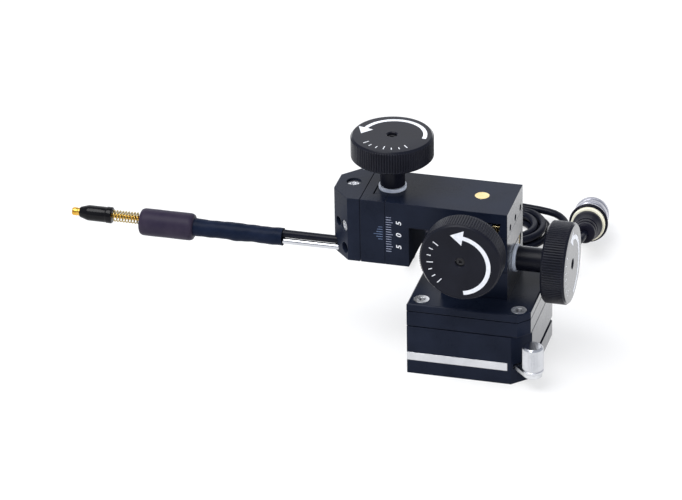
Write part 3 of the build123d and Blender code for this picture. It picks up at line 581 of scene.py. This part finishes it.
def line_of(curve):
    """The points of a curve's own line, in metres, read with no section on it."""
    depth, curve.data.bevel_depth = curve.data.bevel_depth, 0
    mesh = bpy.data.meshes.new_from_object(curve)
    curve.data.bevel_depth = depth
    line = np.zeros(len(mesh.vertices) * 3)
    mesh.vertices.foreach_get("co", line)
    bpy.data.meshes.remove(mesh)
    return line.reshape(-1, 3)


def signal_cable():
    """The cable's tube and the line that it follows."""
    route = cord_curve("cable_route", np.vstack([lead_points, coil_points(), tail_points]),
                       cable_radius)
    line = line_of(route)
    mesh = bpy.data.meshes.new_from_object(route)
    bpy.data.objects.remove(route)
    mesh.materials.clear()
    mesh.materials.append(jacket)
    shade_smooth(mesh)
    made = put("signal_cable", mesh)
    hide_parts("cable_lead", "cable_coil", "cable_tail")
    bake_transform(made)
    return made, line


cable, cable_line = signal_cable()


def connector_pieces():
    """Boot, insert ring, seal, shell and contact pin of the connector, turned round its own
    sloping axis. The profiles start at the cable's end."""
    axis = plug_place, plug_way, plug_right, np.cross(plug_right, plug_way)
    boot = softened([(0.6, 0), (0, 1.45), (0, 3.4), (0.6, 4.0), (2.6, 4.1), (2.9, 3.85),
                     (3.5, 3.85), (3.8, 4.2), (5.6, 4.35), (5.9, 4.1), (6.5, 4.1), (6.8, 4.45),
                     (7.5, 4.55), (9.5, 5.1), (11.0, 5.75), (12.6, 5.8), (13.0, 5.5), (13.0, 0)],
                    0.35)
    ring = softened([(12.9, 4.9), (13.02, 5.0), (13.05, 6.4), (13.25, 6.6), (15.2, 6.6),
                     (15.2, 4.9)], 0.15)
    seal_along, seal_radius = 16.0, 0.8
    around = np.linspace(0, 2 * np.pi, 16, endpoint=False)
    seal = np.stack([seal_along + seal_radius * np.cos(around),
                     shell_radius + seal_radius * np.sin(around)], 1)
    shell = softened([(29.8, 5.7), (29.8, 6.5), (29.5, 6.8), (27.0, 6.8), (26.7, 6.4),
                      (25.7, 6.4), (25.4, 6.8), (21.6, 6.8), (21.3, 6.4), (20.3, 6.4),
                      (20.0, 6.8), (17.1, 6.8), (16.8, 6.5), (16.8, 5.6), (15.2, 5.6),
                      (15.2, 4.0), (20.2, 4.0), (20.2, 5.7)], 0.15)
    contact = softened([(20.2, 0), (20.2, 4.0), (20.5, 4.0), (20.5, 1.2), (22.8, 1.15),
                        (23.2, 0.9), (23.2, 0)], 0.1)
    grip_start, grip_end, ridges, groove_depth = 21.8, 25.2, 48, 0.07

    def grip(along, radius, angle):
        """Fine straight ridges on the shell's middle band: the radius less half a groove's depth
        times one minus the cosine of the angle by the number of ridges."""
        band = (along > grip_start) & (along < grip_end)
        return radius - groove_depth * band * (0.5 - 0.5 * np.cos(ridges * angle))

    return [
        turned_piece("boot", boot, axis, 72, "bracket", soft_black,
                     ["connector_boot"]),
        turned_piece("insert_ring", ring, axis, 72, "bracket", cream, closed=True),
        turned_piece("seal_ring", seal, axis, 72, "bracket", soft_black,
                     ["connector_seal"], closed=True),
        turned_piece("connector_body", shell, axis, 6 * ridges, "bracket", nickel,
                     ["connector_shell"], grip, closed=True),
        turned_piece("contact_pin", contact, axis, 48, "bracket", gold),
    ]


def cable_tie_piece():
    """A flat strap on a rounded rectangle round the bundle, and its head on top: the strap's
    section is carried round the rectangle, and the head is a box with soft corners, the powers of
    a sphere's cosines and sines."""
    room, bottom, corner = 0.7, 0.35, 1.8
    outer_y = coil_y + coil_outer_radius
    inner_y = outer_y - 2 * cable_pitch
    low = np.array([inner_y - cable_radius - room, bottom])
    high = np.array([outer_y + cable_radius + room, upper_layer + cable_radius + room])
    turns, steep = 64, 40
    angle = np.linspace(0, 2 * np.pi, turns, endpoint=False)
    centre, half = (low + high) / 2, (high - low) / 2 - corner
    cos, sin = np.cos(angle), np.sin(angle)
    loop = np.stack([centre[0] + np.clip(cos * steep, -half[0], half[0]) + corner * cos,
                     centre[1] + np.clip(sin * steep, -half[1], half[1]) + corner * sin], 1)
    normal = np.stack([cos, sin], 1)
    x = coil_right_x - 4.5
    head_y, head_z = high[0] - 3.2, high[1] + 1.2
    section = np.array([(-1.5, -0.2), (-1.3, -0.35), (1.3, -0.35), (1.5, -0.2), (1.5, 0.2),
                        (1.3, 0.35), (-1.3, 0.35), (-1.5, 0.2)])
    sides = len(section)
    ring = loop[:, None, :] + normal[:, None, :] * section[None, :, 1:2]
    width = np.broadcast_to((x + section[:, 0])[None, :, None], (turns, sides, 1))
    strap = piece("cable_strap", np.concatenate([width, ring], 2),
                  grid_faces(turns, sides, round_rows=True), "bracket", milky,
                  ["cable_tie"], 50)
    rows, columns = 13, 28
    u = np.linspace(-np.pi / 2, np.pi / 2, rows)[:, None]
    v = np.linspace(-np.pi, np.pi, columns, endpoint=False)[None, :]
    half_x, half_y, half_z = 2.2, 2.0, 1.1

    def power(value, n=0.35):
        """A power that keeps the sign."""
        return np.sign(value) * np.abs(value) ** n

    head = np.stack([x + half_x * power(np.cos(u)) * power(np.cos(v)),
                     head_y + half_y * power(np.cos(u)) * power(np.sin(v)),
                     head_z + half_z * power(np.sin(u)) + 0 * v], -1)
    top = piece("tie_head", head, grid_faces(rows, columns), "bracket", milky, (), 50)
    return [strap, top]


plug_pieces = connector_pieces()
tie_pieces = cable_tie_piece()


# Knobs

def knob_piece(name, axis):
    """Hub and disc in one turned profile, with a straight knurl of flat ridges on the rim."""
    ridges, groove_depth = 96, 0.32
    hub, face, rim = hub_length, hub_length + knob_thickness, knob_radius
    profile = [(0.0, 2.2), (0.0, hub_radius - 0.3), (0.3, hub_radius), (hub - 0.35, hub_radius),
               (hub, hub_radius + 0.35), (hub, rim - 0.8), (hub + 0.35, rim - 0.4),
               (hub + 0.55, rim - 0.28), (hub + 0.75, rim), (hub + 2.0, rim), (hub + 4.5, rim),
               (face - 2.0, rim), (face - 0.9, rim), (face - 0.7, rim - 0.28),
               (face - 0.45, rim - 0.4), (face - 0.08, rim - 0.75), (face - 0.05, rim - 1.1),
               (face - 0.05, 9.0), (face - 0.05, 2.2), (face - 0.35, 1.8), (face - 2.6, 1.75),
               (face - 2.6, 0.0)]

    def knurl(along, radius, angle):
        """The radius less a groove's depth where the wave, which falls from 1 to 0 and back once
        a ridge, nears 1, and less a part of it down to 0.45."""
        on_rim = (radius > rim - 0.1).astype(float)
        wave = np.abs(((angle * ridges / (2 * np.pi)) % 1.0) - 0.5) * 2
        groove = np.clip((wave - 0.45) / 0.5, 0, 1)
        return radius - groove_depth * on_rim * groove

    return turned_piece(name + "_turned", profile, axis, 8 * ridges, name, knob_anodised,
                        [name], knurl, sharp=28)


def on_face(axis, flat, heights):
    """Points of a flat figure in the knob's face plane, once at each height over its foot."""
    flat = np.asarray(flat, float)
    origin, out, right, up = (np.asarray(v, float) for v in axis)
    return [origin + flat[:, 0:1] * right + flat[:, 1:2] * up + height * out
            for height in heights]


def face_marks(name, axis, middle, radius, half_width, first, last, lean):
    """Turning arrow: a ring segment round its own middle from the first angle to the last, with a
    straight-sided head on its end that leans outwards, and plain division lines on the other
    half, every third one longer. All stand 0.03 mm proud of the face."""
    heights = hub_length + knob_thickness - 0.07, hub_length + knob_thickness - 0.02
    steps, head_half, head_length = 61, 3.0, 4.7
    middle = np.array(middle)
    angle = np.radians(np.linspace(first, last, steps))
    ring = np.stack([np.cos(angle), np.sin(angle)], 1)
    inner = on_face(axis, middle + ring * (radius - half_width), heights)
    outer = on_face(axis, middle + ring * (radius + half_width), heights)
    band = np.stack([inner[0], outer[0], outer[1], inner[1]], 1).reshape(-1, 3)
    faces = capped_faces(steps, 4)

    turn = angle[-1] - lean
    tangent = np.array([-math.sin(turn), math.cos(turn)])
    base = middle + ring[-1] * radius
    head = np.array([base - ring[-1] * head_half, base + ring[-1] * head_half,
                     base + tangent * head_length])
    head_points = np.vstack(on_face(axis, head, heights))
    head_faces = [[0, 2, 1], [3, 4, 5], [0, 1, 4, 3], [1, 2, 5, 4], [2, 0, 3, 5]]
    faces += [[len(band) + i for i in face] for face in head_faces]

    lines, gap, pitch, half_line = np.arange(7), 62, 14.0, 0.17
    line_end, line_foot = 12.4, np.where(lines % 3 == 0, 10.0, 10.9)[:, None]
    bearing = np.radians(last + gap + pitch * lines)
    across = np.stack([np.cos(bearing), np.sin(bearing)], 1)
    along = np.stack([-np.sin(bearing), np.cos(bearing)], 1) * half_line
    flat = np.stack([across * line_foot - along, across * line_end - along,
                     across * line_end + along, across * line_foot + along], 1).reshape(-1, 2)
    low, high = on_face(axis, flat, heights)
    marks = np.concatenate([low.reshape(-1, 4, 3), high.reshape(-1, 4, 3)], 1).reshape(-1, 3)
    sides = np.array([[0, 3, 2, 1], [4, 5, 6, 7], [0, 1, 5, 4], [1, 2, 6, 5], [2, 3, 7, 6],
                      [3, 0, 4, 7]])
    start = len(band) + len(head_points)
    faces += (start + lines[:, None, None] * 8 + sides[None]).reshape(-1, 4).tolist()
    return piece(name + "_marks", np.vstack([band, head_points, marks]), faces, name, paint,
                 (), 30)


hub_start = half_stage + washer_thickness
side_arrow = dict(middle=(-0.7, -1.1), radius=11.3, half_width=0.8, first=-80, last=81, lean=0)
top_arrow = dict(middle=(0.6, -0.1), radius=11.6, half_width=0.75, first=-4, last=165, lean=-0.13)
KNOBS = {
    "x_knob": (((hub_start, 0, x_knob_z), (1, 0, 0), (0, 1, 0), (0, 0, 1)), side_arrow),
    "y_knob": (((0, -hub_start, y_knob_z), (0, -1, 0), (1, 0, 0), (0, 0, 1)), side_arrow),
    "z_knob": (((z_knob_x, 0, bar_top + washer_thickness), (0, 0, 1), (1, 0, 0), (0, 1, 0)),
               top_arrow),
}
for name, (axis, arrow) in KNOBS.items():
    knob_piece(name, axis)
    face_marks(name, axis, **arrow)


def lever_knob_piece():
    """The lever's small knob: a turned profile with a straight knurl of rounded ridges and a
    plain ring near its foot."""
    angle, ridges, groove_depth = math.radians(-45), 40, 0.3
    side, top = lever_knob_radius, lever_knob_height
    profile = [(0.0, 1.3), (0.0, side - 0.35), (0.35, side), (1.1, side), (1.2, side - 0.3),
               (1.6, side - 0.3), (1.7, side), (3.5, side), (6.5, side), (8.6, side),
               (top - 1.0, side), (top - 0.65, side - 0.15), (top, side - 0.7), (top, 0.0)]

    def knurl(along, radius, turn):
        """The radius less half a groove's depth times one minus the cosine of the turn by the
        number of ridges, above the ring."""
        on_side = ((radius > side - 0.05) & (along > 1.65)).astype(float)
        return radius - groove_depth * on_side * (0.5 - 0.5 * np.cos(ridges * turn))

    axis = ((lever_reach * math.cos(angle), lever_reach * math.sin(angle), lever_top),
            (0, 0, 1), (1, 0, 0), (0, 1, 0))
    return turned_piece("lever_knob_turned", profile, axis, 8 * ridges, "lever",
                        turned_aluminium, ["lever_knob"], knurl)


lever_knob_piece()


# Scale on the leg and the slide

def scale_lines(name, x, z, reach, body, material):
    """Thin lines on the stage's front, from their middles and their lengths."""
    half_proud, half_line = 0.02, 0.11
    ones = np.ones(len(z))
    centres = np.stack([x, -half_stage * ones, z], 1)
    halves = np.stack([reach / 2, half_proud * ones, half_line * ones], 1)
    points, faces = blocks(centres, halves)
    piece(name, points, faces, body, material, (), 30)


def scale_marks():
    """Fifteen lines a millimetre apart on the leg, longer at every fifth, and the slide's own
    short group, whose right ends are level."""
    step = np.arange(-7, 8)
    reach = np.where(step % 5 == 0, 2.6, 2.0)
    scale_lines("leg_scale", scale_left + reach / 2, scale_zero + step, reach, "bracket",
                scale_paint)
    step = np.arange(-2.5, 3.0)
    reach = np.array([1.6, 2.4, 3.4, 2.4, 2.0, 1.6])
    scale_lines("slide_scale", slide_lines_right - reach / 2, slide_lines_middle + step, reach,
                "arm", faint_paint)


def numeral(name, text, x, z, size, body):
    """A plain numeral lying on its side on the leg's front."""
    data = bpy.data.curves.new(name, "FONT")
    data.body = text
    data.size = size * MM
    data.extrude = 0.02 * MM
    data.offset = 0.05 * MM
    data.shear = 0.15
    data.align_x = "CENTER"
    data.align_y = "CENTER"
    holder = put(name + "_text", data)
    mesh = bpy.data.meshes.new_from_object(holder)
    bpy.data.objects.remove(holder)
    turn = Matrix.Rotation(math.radians(-90), 4, "Y") @ Matrix.Rotation(math.radians(90), 4, "X")
    stretch = Matrix.Diagonal(Vector((1.25, 1.05, 1, 1)))
    mesh.transform(Matrix.Translation(Vector((x, -half_stage, z)) * MM) @ turn @ stretch)
    mesh.materials.clear()
    mesh.materials.append(paint)
    made = put(name, mesh)
    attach(made, body)


scale_marks()
for name, text, z in (("five_above", "5", 55.85), ("nought", "0", scale_zero),
                      ("five_below", "5", 46.05)):
    numeral(name, text, numeral_x, z, numeral_height, "bracket")


# Probe arm

def arm_axis(x, z):
    """The axis of a piece on the arm, which points to +X from its left end."""
    return (x, arm_y, z), (1, 0, 0), (0, 1, 0), (0, 0, 1)


def shrink_tubes():
    """The sleeve over the cable and the rod, and the thick collar left of it. The sleeve's radius
    dips in one arch of a sine over its length, swells in a bell curve near its middle and at its
    left end, and has slow waves all over."""

    def slack(along, radius, angle):
        """Broad shallow waves: sums of sines of the length and the angle."""
        wave = (0.07 * np.sin(along * 0.55 + 2 * np.sin(angle))
                + 0.05 * np.sin(along * 1.3 + 3 * angle))
        return radius + wave * (radius > 1.5)

    length = sleeve_right - sleeve_left
    t = np.linspace(0, 1, 60)
    swell = (sleeve_radius - 0.1 * np.sin(np.pi * t) + 0.28 * np.exp(-((t - 0.47) / 0.09) ** 2)
             + 0.1 * np.exp(-(t / 0.08) ** 2))
    profile = np.vstack([[(0.2, 0.0), (0.0, 2.8)], np.stack([t * length, swell], 1),
                         [(length, 3.15), (length - 0.3, 3.1), (length - 2.5, 3.1),
                          (length - 2.5, 0)]])
    turned_piece("sleeve_shrunk", profile, arm_axis(sleeve_left, sleeve_z), 64, "arm", shrink,
                 ["shrink_sleeve"], slack)
    wide, long = collar_radius, sleeve_left - collar_left
    profile = softened([(0.1, 0), (0.0, wide - 1.5), (0.45, wide - 0.45), (1.5, wide - 0.03),
                        (6, wide), (11, wide - 0.04), (16, wide), (long - 1.5, wide - 0.02),
                        (long - 0.45, wide - 0.4), (long, wide - 1.5), (long, 0)], 0.35)
    turned_piece("collar_shrunk", profile, arm_axis(collar_left, collar_z), 72, "arm",
                 collar_shrink, ["shrink_collar"])


def tip_pieces():
    """The tip's black sleeve and its gold tip with the bore."""
    profile = softened([(3.0, 0.9), (0.0, 1.2), (0.0, 1.85), (0.35, 2.05), (3.2, 2.92),
                        (4.2, 2.95), (8.0, 2.95), (10.4, 2.95), (10.6, 3.1), (12.45, 3.1),
                        (12.75, 2.8), (12.75, 0.9)], 0.2)
    turned_piece("tip_sleeve_turned", profile, arm_axis(tip_sleeve_left, probe_z), 72, "tip",
                 tip_black, ["tip_sleeve"], closed=True)
    profile = softened([(2.5, 0), (2.5, 0.5), (0.0, 0.5), (0.0, 1.3), (0.3, 1.55), (1.9, 1.55),
                        (2.0, 1.4), (2.3, 1.4), (2.4, 1.55), (2.95, 1.55), (2.95, 0.85),
                        (5.95, 0.85), (5.95, 0)], 0.08)
    turned_piece("tip_turned", profile, arm_axis(tip_end, probe_z), 56, "tip", gold,
                 ["probe_tip"])


def spring_piece():
    """The spring behind the tip: a round wire on a helix."""
    end_room, steps_a_turn, sides = spring_wire + 0.1, 36, 12
    rise = (collar_left - tip_sleeve_right - 2 * end_room) / spring_turns
    turn = np.linspace(0, spring_turns, steps_a_turn * spring_turns + 1)
    angle = 2 * np.pi * turn
    path = np.stack([tip_sleeve_right + end_room + rise * turn,
                     arm_y + spring_radius * np.cos(angle),
                     probe_z + spring_radius * np.sin(angle)], 1)
    spring = piece("tip_spring_wound", tube_points(path, spring_wire, sides, (1, 0, 0)),
                   capped_faces(len(path), sides), "arm", spring_gold, ["tip_spring"], 60)
    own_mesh(spring)


def arm_cable():
    """The cable's front stretch, a tube along the arm, round a level elbow and straight back,
    and the grooved boot where it leaves the clamp block."""
    sides = 20
    angle = np.linspace(0, np.pi / 2, 25)
    straight = np.linspace(sleeve_left + 4, gland_x - elbow_radius, 30, endpoint=False)
    back = np.linspace(arm_y + elbow_radius, half_stage + gland_length, 12)[1:]
    x = np.concatenate([straight, gland_x - elbow_radius + elbow_radius * np.sin(angle),
                        np.full(back.shape, gland_x)])
    y = np.concatenate([np.full(straight.shape, arm_y),
                        arm_y + elbow_radius - elbow_radius * np.cos(angle), back])
    path = np.stack([x, y, np.full(x.shape, front_cable_z)], 1)
    piece("front_cable_tube", tube_points(path, front_cable_radius, sides, (0, 0, 1)),
          capped_faces(len(path), sides), "arm", jacket, ["front_cable"], 60)
    profile = softened([(0, 1.55), (0, 2.3), (1.2, 2.3), (1.5, 2.05), (2.0, 2.05), (2.3, 2.3),
                        (3.4, 2.28), (3.7, 2.02), (4.2, 2.0), (4.5, 2.22), (5.6, 2.16),
                        (5.9, 1.95), (6.4, 1.93), (6.7, 2.1), (7.8, 2.04), (8.1, 1.85),
                        (8.6, 1.83), (8.9, 1.97), (11.6, 1.9), (12, 1.8), (12, 1.55)], 0.12)
    axis = (gland_x, half_stage, front_cable_z), (0, 1, 0), (1, 0, 0), (0, 0, 1)
    turned_piece("gland_boot", profile, axis, 48, "arm", soft_black,
                 ["cable_gland"], closed=True)


shrink_tubes()
tip_pieces()
spring_piece()
arm_cable()


# Studio

def light_panel(name, place, aim, size, power, in_gloss=True):
    """A soft rectangular lamp at its place, turned to its aim, that gloss shows or doesn't."""
    data = bpy.data.lights.new(name, "AREA")
    data.shape = "RECTANGLE"
    data.size, data.size_y = size
    data.energy = power
    lamp = put(name, data)
    lamp.location = place
    lamp.rotation_euler = (Vector(aim) - Vector(place)).to_track_quat("-Z", "Y").to_euler()
    lamp.visible_glossy = in_gloss


def pale_floor():
    """A pale rough floor, part of whose light to the camera, gloss and glass is plain white."""
    side, glow_share = 6.0, 0.6
    mesh = bpy.data.meshes.new("floor")
    mesh.from_pydata([(-side, -side, 0), (side, -side, 0), (side, side, 0), (-side, side, 0)], [],
                     [(0, 1, 2, 3)])
    floor = put("floor", mesh)
    material = bpy.data.materials.new("pale_floor")
    material.use_nodes = True
    tree = material.node_tree
    shader = tree.nodes["Principled BSDF"]
    shader.inputs["Base Color"].default_value = (0.9, 0.9, 0.9, 1)
    shader.inputs["Roughness"].default_value = 0.7
    shader.inputs["Specular IOR Level"].default_value = 0.1
    glow = add(tree, "ShaderNodeEmission", in_Strength=1.0)
    rays = add(tree, "ShaderNodeLightPath").outputs
    seen = worked_out(tree, "MAXIMUM", rays["Is Camera Ray"], rays["Is Glossy Ray"])
    seen = worked_out(tree, "MAXIMUM", seen, rays["Is Transmission Ray"])
    share = worked_out(tree, "MULTIPLY", seen, glow_share)
    mix = add(tree, "ShaderNodeMixShader", in_0=share, in_1=shader.outputs[0],
              in_2=glow.outputs[0])
    join(tree, mix.outputs[0], tree.nodes["Material Output"].inputs["Surface"])
    mesh.materials.append(material)


def pale_world():
    """A pale sky that lights the object, and plain white where the camera or glass looks at it."""
    world = bpy.data.worlds.new("studio")
    bpy.context.scene.world = world
    world.use_nodes = True
    tree = world.node_tree
    backdrop = tree.nodes["Background"]
    backdrop.inputs["Color"].default_value = (0.86, 0.90, 1.0, 1)
    backdrop.inputs["Strength"].default_value = 0.55
    white = add(tree, "ShaderNodeBackground", in_Color=(1, 1, 1, 1), in_Strength=1.0)
    rays = add(tree, "ShaderNodeLightPath").outputs
    seen = worked_out(tree, "MAXIMUM", rays["Is Camera Ray"], rays["Is Transmission Ray"])
    mix = add(tree, "ShaderNodeMixShader", in_0=seen, in_1=backdrop.outputs[0],
              in_2=white.outputs[0])
    join(tree, mix.outputs[0], tree.nodes["World Output"].inputs["Surface"])


pale_floor()
pale_world()
light_panel("panel_above", (-0.25, -0.35, 0.9), (0, 0, 0.03), (0.8, 0.6), 9.0)
light_panel("panel_right", (0.9, -0.1, 0.45), (0, 0, 0.04), (0.5, 0.5), 3.5, in_gloss=False)
light_panel("panel_left", (-0.9, 0.2, 0.5), (-0.05, 0, 0.04), (0.5, 0.6), 3.0, in_gloss=False)
light_panel("panel_behind", (-0.3, 1.1, 0.62), (0, 0, 0.05), (1.3, 0.7), 3.0)
bpy.context.scene.view_settings.view_transform = "Standard"

bpy.context.view_layer.update()
